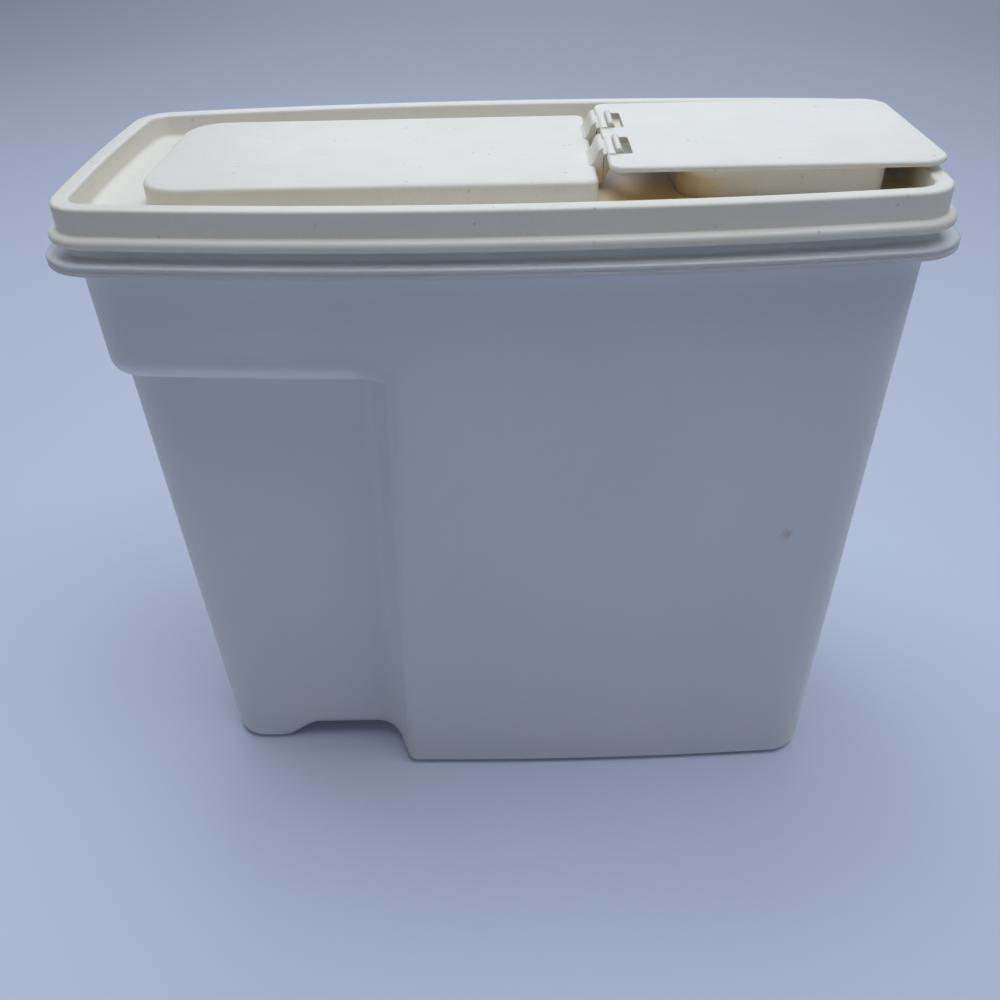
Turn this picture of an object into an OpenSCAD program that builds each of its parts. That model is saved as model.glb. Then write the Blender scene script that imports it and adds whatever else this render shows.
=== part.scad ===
// Dry-food keeper: a tapered translucent container with a cut-in hand grip at one
// end, a press-on lid with a raised deck, and a pouring flap on two moulded hooks.
// Origin: middle of the base, on the surface it stands on. +X towards the pouring
// end, -Y towards the front, +Z up. Millimetres.

/* [Rim outline, shared by lid and container] */
// Length of the lid's rim at mid width
rim_l = 234; // [215:1:270]
// Width of the lid's rim at mid length
rim_w = 105; // [95:1:125]
// Outward bow of each long side
side_bow = 6; // [3:0.5:8]
// Outward bow of each end
end_bow = 1; // [0.5:0.1:1.5]
// Plan radius of the rim's corners
rim_corner_r = 11.5; // [10:0.5:15]

/* [Container] */
// Height from the base to the underside of the flange
body_h = 198.5; // [180:0.5:230]
// Wall thickness
wall_t = 1.8; // [1.4:0.1:2.4]
// Length of the base
base_l = 219; // [205:1:228]
// Width of the base at mid length
base_w = 86; // [80:1:92]
// Outward bow of the base's long sides
base_bow = 3; // [1:0.5:4.5]
// Plan radius of the base's corners
base_corner_r = 12; // [9:0.5:16]
// Radius of the bottom edge
base_edge_r = 4; // [2.5:0.5:6]
// Reach of the flange beyond the rim
flange_out = 4.4; // [3.5:0.1:6]
// Height of the flange
flange_h = 3; // [2.4:0.2:4]
// Height of the lip above the flange
lip_h = 11.5; // [8:0.5:14]
// Thickness of the lip
lip_t = 1.3; // [1:0.1:1.5]

/* [Hand grip] */
// Place of the step wall between the grip and the main block, at the base
step_x = -41.5; // [-55:0.5:-32]
// Lean of the step wall towards the main block, over the container's height
step_lean = 6; // [0:0.5:8]
// Width of the grip at the base
grip_base_w = 59; // [52:1:62]
// Width of the grip's wall, carried up to the flange
grip_top_w = 70; // [62:1:74]
// Lean of the grip's end at the base, more than the wall's own draft
grip_end_in = 2.1; // [0:0.1:3]
// Height of the ledge above the grip
ledge_z = 165; // [140:1:180]
// Radius of the ledge's outer edge
ledge_edge_r = 4.5; // [3:0.5:6]
// Slant of the step wall, from the container's side
step_angle = 66; // [60:1:80]
// Radius of the hollow corner between the grip and the step wall
step_root_r = 6; // [4:0.5:8]
// Radius of the step wall's outer upright edge
step_edge_r = 3; // [3:0.25:5]
// Rise of the arch under the grip
arch_h = 7.5; // [5:0.5:12]
// Start of the arch, beside the foot
arch_x = -88; // [-92:0.5:-82]

/* [Lid] */
// Thickness of the lid's skins
lid_t = 1.4; // [1.2:0.1:1.8]
// Width of the rim's flat top
rim_top_w = 4.8; // [4.6:0.1:6]
// Height of the rim above the bead
rim_h = 7.2; // [5:0.1:8]
// Height of the bead
bead_h = 3.1; // [2.6:0.1:4.4]
// Reach of the bead beyond the rim
bead_out = 2.4; // [1.8:0.1:3.2]
// Depth of the gutter floor below the rim
gutter_d = 6.5; // [5:0.5:8]
// Depth of the sealing skirt below the gutter floor
seal_h = 5; // [3:0.5:7]
// Clearance between the lid and the lip
seat_gap = 0.3; // [0.2:0.05:0.4]

/* [Deck] */
// Width of the raised deck
deck_w = 65; // [56:1:70]
// Place of the deck's left end
deck_x0 = -96; // [-99:0.5:-88]
// Place of the deck's end wall, beside the hinge
deck_x1 = 26; // [15:0.5:32]
// Plan radius of the deck's left corners
deck_corner_r = 9; // [6:0.5:12]
// Radius of the deck's top edge
deck_edge_r = 1.3; // [0.8:0.1:1.4]

/* [Flap] */
// Thickness of the flap
flap_t = 2.1; // [1.8:0.1:2.6]
// Width of the flap
flap_w = 64; // [60:1:70]
// Place of the flap's free end
flap_x1 = 117.5; // [112:0.5:120]
// Radius of the corners at the free end
flap_corner_r = 8; // [6:0.5:12]
// Radius of the corners at the hinge
flap_hinge_corner_r = 4; // [3:0.5:6]
// Height of the flap's underside above the rim
flap_lift = 1.2; // [1:0.1:2]

/* [Pouring opening] */
// Start of the opening, towards the hinge
mouth_x0 = 48; // [44:0.5:56]
// End of the opening
mouth_x1 = 102; // [90:0.5:104]
// Width of the opening
mouth_w = 57; // [44:1:59]
// Radius of the opening's corners at the hinge
mouth_r0 = 9; // [6:0.5:12]
// Radius of the opening's corners at the free end
mouth_r1 = 4; // [3:0.5:6]
// Thickness of the plug wall under the flap
plug_t = 1.5; // [1.2:0.1:2]
// Clearance round the plug
plug_gap = 0.8; // [0.7:0.1:1.2]

/* [Hinge] */
// Distance of the hinge axis from the deck's end wall
hinge_off = 4.3; // [4.1:0.1:5]
// Radius of the hinge bar
bar_r = 1.5; // [1.3:0.05:1.6]
// Running clearance round the bar
bar_gap = 0.1; // [0.06:0.01:0.15]
// Thickness of the hooks
hook_t = 1.6; // [1.2:0.1:1.8]
// Width of each hook
hook_w = 11; // [9:0.5:15]
// Distance of each hook from the middle
hook_y = 12.5; // [10:0.5:18]
// Half angle of the hooks' open top
hook_open = 42; // [36:1:50]
// Clearance of the hooks in the flap's slots
slot_gap = 0.8; // [0.5:0.1:1.2]
// Extra length of the slots beyond the hooks' tips
slot_more = 1.5; // [0:0.5:3]

/* [Hidden] */

lip_in_d = lid_t + seat_gap + lip_t;          // lip's inner face, inwards from the rim outline
lip_out_d = lid_t + seat_gap;                 // lip's outer face
wall_top_d = 2;                               // container wall's outer face under the flange
wall_top_more_r = 2.5;                        // its corners' radius, above the rim's
flange_top = body_h + flange_h;
lip_top = flange_top + lip_h;
rim_top = lip_top + seat_gap + lid_t + 0.2;
bead_top = rim_top - rim_h;
gutter_z = rim_top - gutter_d;
hinge_x = deck_x1 + hinge_off;
hinge_z = rim_top + flap_lift + flap_t / 2;
merge = 0.4;                                  // overlap where two forms of one piece join
ivory = [0.93, 0.91, 0.85];
frosted = [0.74, 0.80, 0.81, 0.6];

// ---------------------------------------------------------------- swept outlines
// An outline is a counter-clockwise list of corners [x, y, fillet radius].
function unit(v) = v / norm(v);
function turn(p, v, n) = let (a = unit(v - p), b = unit(n - v)) acos(a * b);
function reach(p, v, n, r) = r * tan(turn(p, v, n) / 2);
function xy(c) = [c[0], c[1]];
function box_outline(x0, x1, w, r0, r1) =
    [[x1, -w / 2, r1], [x1, w / 2, r1], [x0, w / 2, r0], [x0, -w / 2, r0]];

// Sweeps a section, drawn with x as the distance outwards from the outline, all round it.
module sweep(outline) {
    n = len(outline);
    for (i = [0 : n - 1]) {
        p = xy(outline[(i + n - 1) % n]);
        v = xy(outline[i]);
        q = xy(outline[(i + 1) % n]);
        s = xy(outline[(i + 2) % n]);
        r = outline[i][2];
        in_dir = unit(v - p);
        out_dir = unit(q - v);
        side = [-in_dir[1], in_dir[0]];
        t = reach(p, v, q, r);
        centre = v - in_dir * t + side * r;
        translate([centre[0], centre[1], 0])
            rotate([0, 0, atan2(-side[1], -side[0])])
                rotate_extrude(angle = turn(p, v, q), $fn = 72)
                    translate([r, 0]) children();
        start = v + out_dir * t;
        run = norm(q - v) - t - reach(v, q, s, outline[(i + 1) % n][2]);
        if (run > 0.001)
            translate([start[0], start[1], 0])
                rotate([90, 0, atan2(out_dir[1], out_dir[0]) - 90])
                    mirror([0, 0, 1]) linear_extrude(run) children();
    }
}

// The flat area inside an outline that is moved inwards by inset.
function arc_points(p, v, q, r, inset) =
    let (a = unit(v - p), side = [-a[1], a[0]], centre = v - a * reach(p, v, q, r) + side * r,
         start = atan2(-side[1], -side[0]), steps = 8)
    [for (k = [0 : steps]) let (g = start + turn(p, v, q) * k / steps)
        centre + (r - inset) * [cos(g), sin(g)]];
function inset_points(outline, inset) =
    let (n = len(outline))
    [for (i = [0 : n - 1]) each arc_points(xy(outline[(i + n - 1) % n]), xy(outline[i]),
        xy(outline[(i + 1) % n]), outline[i][2], inset)];
module plate(outline, inset, z, t) {
    translate([0, 0, z]) linear_extrude(t) polygon(inset_points(outline, inset));
}

// Quarter-round points about c, from angle a0 to a1.
function round_pts(c, r, a0, a1, steps = 4) =
    [for (k = [0 : steps]) let (a = a0 + (a1 - a0) * k / steps) c + r * [cos(a), sin(a)]];

// ---------------------------------------------------------------- container
// The container is one skin, lofted through level rings: up the outside, round the
// flange and lip, and down the inside. A ring is [z, offset, cut, kind]: offset is
// outwards from the outline, cut runs from 0 (no grip) to 1 (full grip), and kind
// says whether the wall's own outline or the rim's outline is followed.
WALL = 0;
RIM = 1;
end_n = 2;        // stations along half of an end
corner_n = 6;     // stations round a corner
grip_n = 9;       // stations along the grip's side
fillet_n = 4;     // stations round each of the step wall's edges
side_n = 6;       // stations along the main block's side
plain_n = 14;     // steps along a whole side without a grip

function mix(a, b, t) = a + (b - a) * t;
function smooth(t) = let (u = min(1, max(0, t))) u * u * (3 - 2 * u);
function dims(z, kind) = kind == RIM
    ? [rim_l, rim_w, side_bow, end_bow, rim_corner_r]
    : [for (d = [[base_l, rim_l - 2 * wall_top_d], [base_w, rim_w - 2 * wall_top_d],
                 [base_bow, side_bow], [end_bow, end_bow],
                 [base_corner_r, rim_corner_r + wall_top_more_r]])
        mix(d[0], d[1], z / body_h)];

// Half rings are lists of [x, y] along the front, from the left end's middle to the right
// end's. A bowed outline is worked out once as [a, bow, end bow, r, tilt, end tilt, cx, cy,
// ex, sx, b]: half sizes a and b, corner centres cx and cy, and where the corners end.
function frame_of(d, o) =
    let (a = d[0] / 2 + o, b = d[1] / 2 + o, r = max(d[4] + o, 1.5),
         tilt = atan(2 * d[2] / (a - r)), etilt = atan(2 * d[3] / (b - d[2] - r)),
         cx = a - d[3] - r * cos(etilt), cy = b - d[2] - r * cos(tilt))
    [a, d[2], d[3], r, tilt, etilt, cx, cy, cy + r * sin(etilt), cx + r * sin(tilt), b];
function side_y(f, x) = -f[10] + f[1] * pow(x / f[9], 2);
function left_part(f) = concat(
    [for (k = [0 : end_n - 1]) [-f[0] + f[2] * pow(k / end_n, 2), -f[8] * k / end_n]],
    [for (k = [0 : corner_n]) let (g = mix(180 + f[5], 270 - f[4], k / corner_n))
        [-f[6] + f[3] * cos(g), -f[7] + f[3] * sin(g)]]);
function right_part(f) =
    let (left = left_part(f))
    [for (k = [len(left) - 1 : -1 : 0]) [-left[k][0], left[k][1]]];
function plain_half(d, o) =
    let (f = frame_of(d, o))
    concat(left_part(f),
        [for (k = [1 : plain_n - 1]) let (x = mix(-f[9], f[9], k / plain_n)) [x, side_y(f, x)]],
        right_part(f));

// The gripped half ring lies between the block's outline and the grip's, by the share cut.
function grip_dims(z) =
    let (d = dims(z, WALL), t = z / body_h)
    [d[0] - 2 * mix(grip_end_in, 0, t), mix(grip_base_w, grip_top_w, t), 0, d[3], d[4]];
function step_depth(z) =
    let (f = frame_of(dims(z, WALL), 0)) -side_y(f, step_x) - grip_dims(z)[1] / 2;
function gripped_half(z, d, o, cut) =
    let (f = frame_of(d, o), g = frame_of(grip_dims(z), o), depth = step_depth(min(z, body_h)),
         rin = step_root_r - o, rout = max(step_edge_r + o, 1),
         span = (rin + rout) * sin(step_angle)
              + (depth - (rin + rout) * (1 - cos(step_angle))) / tan(step_angle),
         mid = step_x + step_lean * z / body_h - o, xa = mid - span / 2, xb = mid + span / 2,
         block = left_part(f), grip = left_part(g))
    concat(
        [for (k = [0 : len(block) - 1]) mix(block[k], grip[k], cut)],
        [for (k = [1 : grip_n]) let (x = mix(-f[9], xa, k / (grip_n + 1)))
            mix([x, side_y(f, x)], [mix(-g[9], xa, k / (grip_n + 1)), -g[10]], cut)],
        [for (k = [0 : fillet_n]) let (t = step_angle * k / fillet_n, x = xa + rin * sin(t))
            [x, mix(side_y(f, x), -g[10], cut * (1 - rin * (1 - cos(t)) / depth))]],
        [for (k = [fillet_n : -1 : 0]) let (t = step_angle * k / fillet_n, x = xb - rout * sin(t))
            [x, mix(side_y(f, x), -g[10], cut * rout * (1 - cos(t)) / depth)]],
        [for (k = [1 : side_n]) let (x = mix(xb, f[9], k / (side_n + 1))) [x, side_y(f, x)]],
        right_part(f));
function closed(half) =
    concat(half, [for (k = [len(half) - 2 : -1 : 1]) [half[k][0], -half[k][1]]]);
// Skin between rings of m points; wrapped joins the last ring to the first.
function skin(rings, m, wrapped) =
    [for (i = [0 : rings - (wrapped ? 1 : 2)]) for (k = [0 : m - 1])
        let (a = i * m + k, b = i * m + (k + 1) % m, up = i == rings - 1 ? m - rings * m : m)
        each [[a, a + up, b + up], [a, b + up, b]]];

arch_run_in = 15;   // length of the arch's slope beside the foot
arch_run_out = 13;  // length of its slope beside the main block
arch_fade = 45;     // height at which the arch no longer moves the wall's rings
arch_x1 = step_x + 4.5;
function arch(x, z) = arch_h * smooth((x - arch_x) / arch_run_in)
    * smooth((arch_x1 - x) / arch_run_out) * max(0, 1 - z / arch_fade);

function ring_pts(s) =
    [for (p = closed(gripped_half(s[0], dims(s[0], s[3]), s[1], s[2])))
        [p[0], p[1], s[0] + arch(p[0], s[0])]];

// The ledge's turn, as [z, cut] pairs from below: hollow corner, level run, round edge.
// raise is 0 outside, and the wall thickness inside.
ledge_hollow_r = 3;
function ledge_turn(raise) =
    let (hollow = ledge_hollow_r + raise, edge = ledge_edge_r - raise, z = ledge_z + raise,
         depth = step_depth(ledge_z))
    concat(
        [for (g = [0 : 30 : 90])
            [z - hollow * (1 - sin(g)), 1 - hollow * (1 - cos(g)) / depth]],
        [for (g = [0 : 30 : 90])
            [z + edge * (1 - cos(g)), edge * (1 - sin(g)) / depth]]);
function reversed(list) = [for (k = [len(list) - 1 : -1 : 0]) list[k]];
// The bottom edge's turn, as [z, offset] pairs from the wall to the flat.
function base_turn(z, inset, r) =
    [for (g = [0 : 22.5 : 90]) [z + r * (1 - sin(g)), -inset - r * (1 - cos(g))]];

ridge = 0.5;        // depth of the groove between the flange's two ridges
flange_bevel = 0.5;
lip_root = 0.8;     // bevel where the lip stands on the flange
lip_round = 0.6;    // height of the bevels at the lip's top
lip_bevel = 0.3;    // width of those bevels
flange_root = 1;    // fillet under the flange
seam = flange_top + 2.4;   // height inside at which the wall meets the lip

outside = concat(
    [for (p = reversed(base_turn(0, 0, base_edge_r))) [p[0], p[1], 1, WALL]],
    [[arch_fade, 0, 1, WALL]],
    [for (p = ledge_turn(0)) [p[0], 0, p[1], WALL]],
    [[body_h - flange_root, 0, 0, WALL]]);
collar = [
    [body_h, flange_root * 0.3, 0, RIM],
    [body_h, flange_out - flange_bevel, 0, RIM],
    [body_h + flange_bevel, flange_out, 0, RIM],
    [body_h + flange_h / 2 - ridge, flange_out, 0, RIM],
    [body_h + flange_h / 2, flange_out - ridge, 0, RIM],
    [body_h + flange_h / 2 + ridge, flange_out, 0, RIM],
    [flange_top - flange_bevel, flange_out, 0, RIM],
    [flange_top, flange_out - flange_bevel, 0, RIM],
    [flange_top, -lip_out_d + lip_root, 0, RIM],
    [flange_top + lip_root, -lip_out_d, 0, RIM],
    [lip_top - lip_round, -lip_out_d, 0, RIM],
    [lip_top, -lip_out_d - lip_bevel, 0, RIM],
    [lip_top, -lip_in_d + lip_bevel, 0, RIM],
    [lip_top - lip_round, -lip_in_d, 0, RIM],
    [seam, -lip_in_d, 0, RIM]];
inside = concat(
    [[body_h - flange_root, -wall_t, 0, WALL]],
    [for (p = reversed(ledge_turn(wall_t))) [p[0], -wall_t, p[1], WALL]],
    [[arch_fade, -wall_t, 1, WALL]],
    [for (p = base_turn(wall_t, wall_t, base_edge_r - wall_t / 2)) [p[0], p[1], 1, WALL]]);

module container() {
    rings = concat(outside, collar, inside);
    loops = [for (s = rings) ring_pts(s)];
    m = len(loops[0]);
    half = m / 2;
    last = (len(rings) - 1) * m;
    under = [for (k = [0 : half - 1]) let (f = [k, k + 1, m - k - 1, (m - k) % m])
        each k == 0 ? [[f[0], f[1], f[2]]] : k == half - 1 ? [[f[0], f[1], f[3]]]
            : [[f[0], f[1], f[2]], [f[0], f[2], f[3]]]];
    floor_top = [for (t = under) [last + t[2], last + t[1], last + t[0]]];
    faces = concat(skin(len(rings), m, false), under, floor_top);
    color(frosted) polyhedron([for (l = loops) each l], faces);
}

// ---------------------------------------------------------------- lid
deck_end_r = 3;                    // plan radius of the deck's corners beside the hinge
deck_outline = box_outline(deck_x0, deck_x1, deck_w, deck_corner_r, deck_end_r);
mouth_outline = box_outline(mouth_x0, mouth_x1, mouth_w, mouth_r0, mouth_r1);
rim_edge_r = 0.9;
bead_flat = 0.35;                  // share of the bead's reach that stands square
seal_in_d = lip_in_d + seat_gap;   // outer face of the sealing skirt
gutter_round = 1.5;                // fillet between the rim and the gutter floor
inner_lean = 0.7;                  // draft of the rim's inner wall
deck_foot = 0.9;                   // fillet at the foot of the deck's wall

skirt_top = rim_top - lid_t;       // underside of the rim's top
skirt_low = gutter_z - seal_h;     // foot of the sealing skirt
gutter_edge_d = rim_top_w + inner_lean + gutter_round;
soft = 0.4;                        // size of the small bevels inside the rim

// The rim's section, from the sealing skirt's foot up the outside and down to the gutter,
// as [distance outwards from the rim outline, z].
rim_section = concat(
    [[-seal_in_d - lid_t, skirt_low], [-seal_in_d - soft, skirt_low],
     [-seal_in_d, skirt_low + soft], [-seal_in_d, skirt_top - soft],
     [-seal_in_d + soft, skirt_top], [-lid_t - soft, skirt_top],
     [-lid_t, skirt_top - soft], [-lid_t, bead_top - bead_h]],
    [for (g = [-90 : 30 : 90])
        [bead_out * mix(bead_flat, 1, cos(g)), bead_top - bead_h / 2 * (1 - sin(g))]],
    [[0, bead_top + soft]],
    round_pts([-rim_edge_r, rim_top - rim_edge_r], rim_edge_r, 0, 90, 3),
    round_pts([-rim_top_w + rim_edge_r, rim_top - rim_edge_r], rim_edge_r, 90, 180, 3),
    [[-rim_top_w - inner_lean, gutter_z + gutter_round],
     [-rim_top_w - inner_lean - gutter_round * 0.3, gutter_z + gutter_round * 0.3],
     [-gutter_edge_d, gutter_z], [-gutter_edge_d - merge, gutter_z],
     [-gutter_edge_d - merge, gutter_z - lid_t], [-seal_in_d - lid_t, gutter_z - lid_t]]);
function rim_ring(o) = closed(plain_half(dims(0, RIM), o));

module rim() {
    loops = [for (s = rim_section) [for (q = rim_ring(s[0])) [q[0], q[1], s[1]]]];
    polyhedron([for (l = loops) each l], skin(len(loops), len(loops[0]), true));
}

module deck_section() {
    polygon(concat(
        [[-lid_t, gutter_z - lid_t], [deck_foot / 2, gutter_z - lid_t],
         [deck_foot / 2, gutter_z + deck_foot / 3], [0, gutter_z + deck_foot]],
        round_pts([-deck_edge_r, rim_top - deck_edge_r], deck_edge_r, 0, 90),
        [[-deck_edge_r - merge, rim_top], [-deck_edge_r - merge, rim_top - lid_t],
         [-lid_t, rim_top - lid_t]]));
}

// One hook, in the plane of the hinge: a ring open at the top, on a root from the deck's end wall.
module hook() {
    outer = bar_r + bar_gap + hook_t;
    root_top = flap_lift - 0.5;
    root_foot = gutter_z + 2 * deck_foot - hinge_z;
    gap_w = 3 * outer;
    translate([hinge_x, hook_w / 2, hinge_z]) rotate([90, 0, 0]) linear_extrude(hook_w)
        difference() {
            union() {
                circle(outer, $fn = 64);
                polygon([[-hinge_off - merge, root_top - hinge_z + rim_top],
                         [-outer + 0.2, root_top - hinge_z + rim_top],
                         [0, -outer], [-hinge_off / 2, root_foot], [-hinge_off - merge, root_foot]]);
            }
            circle(bar_r + bar_gap, $fn = 64);
            polygon([[0, 0], [gap_w * tan(hook_open), gap_w], [-gap_w * tan(hook_open), gap_w]]);
        }
}

module lid() {
    color(ivory) {
        rim();
        difference() {
            translate([0, 0, gutter_z - lid_t]) linear_extrude(lid_t)
                polygon(rim_ring(-gutter_edge_d - merge / 2));
            plate(deck_outline, lid_t / 2, gutter_z - 2 * lid_t, 3 * lid_t);
            plate(mouth_outline, -plug_gap, gutter_z - 2 * lid_t, 3 * lid_t);
        }
        sweep(deck_outline) deck_section();
        plate(deck_outline, deck_edge_r + merge / 2, rim_top - lid_t, lid_t);
        for (side = [-1, 1]) translate([0, side * hook_y, 0]) hook();
    }
}

// ---------------------------------------------------------------- flap
flap_outline = box_outline(hinge_x - bar_r, flap_x1, flap_w, flap_hinge_corner_r, flap_corner_r);
plug_h = flap_lift + gutter_d + lid_t;   // the plug ends level with the gutter floor's underside

module flap_edge_section() {
    edge_r = flap_t / 2;
    polygon(concat([[-edge_r - merge, hinge_z - edge_r]],
        round_pts([-edge_r, hinge_z], edge_r, -90, 90, 8),
        [[-edge_r - merge, hinge_z + edge_r]]));
}

module plug_section() {
    top = hinge_z - flap_t / 2 + merge;
    low = hinge_z - flap_t / 2 - plug_h;
    polygon([[-plug_t, low + 0.5], [-plug_t + 0.4, low], [-0.4, low], [0, low + 0.5],
             [0, top], [-plug_t, top]]);
}

module flap() {
    slot_w = hook_w + 2 * slot_gap;
    slot_reach = bar_r + bar_gap + hook_t + slot_gap + slot_more;
    color(ivory) {
        difference() {
            union() {
                sweep(flap_outline) flap_edge_section();
                plate(flap_outline, (flap_t + merge) / 2, hinge_z - flap_t / 2, flap_t);
            }
            for (side = [-1, 1]) translate([hinge_x - 3 * bar_r, side * hook_y - slot_w / 2,
                hinge_z - flap_t])
                    cube([3 * bar_r + slot_reach, slot_w, 2 * flap_t]);
        }
        for (side = [-1, 1]) translate([hinge_x, side * hook_y + slot_w / 2 + merge, hinge_z])
            rotate([90, 0, 0]) cylinder(h = slot_w + 2 * merge, r = bar_r, $fn = 64);
        sweep(mouth_outline) plug_section();
    }
}

container();
lid();
flap();
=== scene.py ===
"""Looks of a dry-food keeper with a pouring flap: a translucent tub, an ivory lid and its flap.

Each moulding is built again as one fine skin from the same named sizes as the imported
part, in millimetres, and takes the place of its node. The few sizes that differ from the
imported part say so. Materials, floor, light and camera follow.
"""
import math

import bmesh
import bpy
from mathutils import Matrix, Vector


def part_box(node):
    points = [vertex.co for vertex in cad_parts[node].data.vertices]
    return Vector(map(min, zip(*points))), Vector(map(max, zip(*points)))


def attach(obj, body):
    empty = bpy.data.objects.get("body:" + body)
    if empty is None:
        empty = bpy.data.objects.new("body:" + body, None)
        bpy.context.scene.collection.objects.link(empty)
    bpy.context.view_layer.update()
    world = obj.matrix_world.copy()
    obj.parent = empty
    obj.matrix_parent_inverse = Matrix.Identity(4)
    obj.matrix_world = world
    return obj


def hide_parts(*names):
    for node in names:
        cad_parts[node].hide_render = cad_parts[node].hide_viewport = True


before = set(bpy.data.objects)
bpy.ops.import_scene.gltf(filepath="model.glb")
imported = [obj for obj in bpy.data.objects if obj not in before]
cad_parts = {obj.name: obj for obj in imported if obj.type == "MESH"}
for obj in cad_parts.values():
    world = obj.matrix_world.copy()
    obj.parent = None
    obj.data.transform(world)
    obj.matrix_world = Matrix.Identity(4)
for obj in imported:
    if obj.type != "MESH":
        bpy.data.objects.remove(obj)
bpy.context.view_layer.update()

MM = 0.001

# ------------------------------------------------------------------ sizes of the tub, in mm
TUB_MAX = [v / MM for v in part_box("container")[1]]

FLANGE_OUT = 4.4
RIM_L = 2 * (TUB_MAX[0] - FLANGE_OUT)
RIM_W = 2 * (TUB_MAX[1] - FLANGE_OUT)
SIDE_BOW = 6.0
END_BOW = 1.0
RIM_CORNER_R = 11.5
LIP_TOP = TUB_MAX[2]
LIP_H = 11.5
FLANGE_H = 3.0
FLANGE_TOP = LIP_TOP - LIP_H
BODY_H = FLANGE_TOP - FLANGE_H
WALL_T = 1.8
WALL_TOP_D = 2.0
WALL_CORNER_MORE = 2.5      # the walls' top corners are this much rounder than the rim's
LIP_T = 1.3
BASE_L = 219.0
BASE_W = 86.0
BASE_BOW = 3.0
BASE_CORNER_R = 12.0
BASE_EDGE_R = 4.0

FLANGE_ROOT_R = 1.2
RIDGE_TURN = 72             # each of the flange's two ridges, to both sides of level, degrees
RIDGE_FOOT = 1.4            # how far in the flange's top begins, in ridge radii
LIP_ROOT_R = 0.8
LIP_EDGE_R = 0.6
LIP_FOOT_UP = 2.4           # the lip's inside ends this far over the flange's top
INSIDE_DROP = 1.0           # and the walls' inside begins this far under the flange

STEP_X = -41.5
STEP_LEAN = 6.0
STEP_ROOT_R = 6.0
STEP_EDGE_R = 3.0
STEP_ANGLE = math.radians(66)
GRIP_BASE_W = 59.0
GRIP_TOP_W = 70.0
GRIP_END_IN = 2.1
LEDGE_Z = 165.0
LEDGE_EDGE_R = 4.5
LEDGE_HOLLOW_R = 3.0
ARCH_H = 7.5
ARCH_X0 = -88.0
ARCH_X1_OFF = 4.5           # from the step
ARCH_X1 = STEP_X + ARCH_X1_OFF
ARCH_RUN_IN = 15.0
ARCH_RUN_OUT = 13.0
ARCH_FADE = 45.0            # height at which the arch no longer bends the walls

# ------------------------------------------------------------------ sizes of the lid, in mm
LID_T = 1.4
SEAT_GAP = 0.3
LID_OVER_LIP = 0.2
RIM_TOP_W = 4.8
RIM_H = 7.2
RIM_EDGE_R = 0.9
BEAD_H = 3.1
BEAD_OUT = 2.4
BEAD_BACK, BEAD_NOSE = 0.42, 0.58           # shares of the bead's reach: straight, then round
BEAD_HOLLOW = ((0.35, 0.06), (0.08, 0.22), (0, 0.5))  # (out, up) from bead into rim
GUTTER_D = 6.5
GUTTER_ROUND = 1.5
INNER_LEAN = 0.7
SEAL_H = 5.0
SEAL_EDGE_R = 0.4
RIM_TOP = LIP_TOP + SEAT_GAP + LID_T + LID_OVER_LIP
BEAD_TOP = RIM_TOP - RIM_H
GUTTER_Z = RIM_TOP - GUTTER_D
LIP_OUT_D = LID_T + SEAT_GAP
LIP_IN_D = LIP_OUT_D + LIP_T
SEAL_IN_D = LIP_IN_D + SEAT_GAP

DECK_W = 65.0
DECK_X0 = -96.0
DECK_X1 = 26.0
DECK_CORNER_R = 11.5        # 9 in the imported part
DECK_END_R = 3.0
DECK_EDGE_R = 1.3
DECK_FOOT = 0.9

MOUTH_X0 = 48.0
MOUTH_X1 = 102.0
MOUTH_W = 57.0
MOUTH_R0 = 9.0
MOUTH_R1 = 4.0
MOUTH_GAP = 0.25            # at the hinge side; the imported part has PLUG_GAP all round
MOUTH_TOP_EDGE = ((-0.3, 0), (-0.1, -0.1), (0, -0.3))  # (inwards, up) from the gutter's floor
MOUTH_LOW_EDGE = ((0, 0.2), (-0.2, 0))                 # and from its underside

# ------------------------------------------------------------------ sizes of the flap, in mm
FLAP_MIN, FLAP_MAX = [[v / MM for v in corner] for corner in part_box("flap")]

FLAP_T = 2.1
PLATE_T = 1.7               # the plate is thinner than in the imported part, with the same top
FLAP_W = 64.0
FLAP_X1 = FLAP_MAX[0]
FLAP_CORNER_R = 8.0
FLAP_HINGE_CORNER_R = 4.0
FLAP_LIFT = 1.2
PLUG_T = 1.5
PLUG_GAP = 0.8
PLUG_LOW = FLAP_MIN[2]
PLUG_SOFT, PLUG_BIT = 0.5, 0.15             # an edge's reach, and its middle's
PLUG_INTO_PLATE = 0.4

# ------------------------------------------------------------------ sizes of the hinge, in mm
HINGE_OFF = 4.3
BAR_R = 1.5
BAR_GAP = 0.1
BAR_SIDES = 48
BAR_INTO_PLATE = 0.8
HINGE_X = DECK_X1 + HINGE_OFF
HINGE_Z = RIM_TOP + FLAP_LIFT + FLAP_T / 2
HOOK_T = 1.6
HOOK_W = 14.0               # 11 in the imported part
HOOK_Y = 12.6               # 12.5 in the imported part
HOOK_OPEN = 49              # half of the opening at the top, degrees; 42 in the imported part
HOOK_R = BAR_R + BAR_GAP + HOOK_T
HOOK_UNDER = 262            # where the hook's round leaves its root, degrees
HOOK_SUNK = 0.5             # how deep the root is let into the deck's end wall
HOOK_EDGE_R = 0.25
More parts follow.
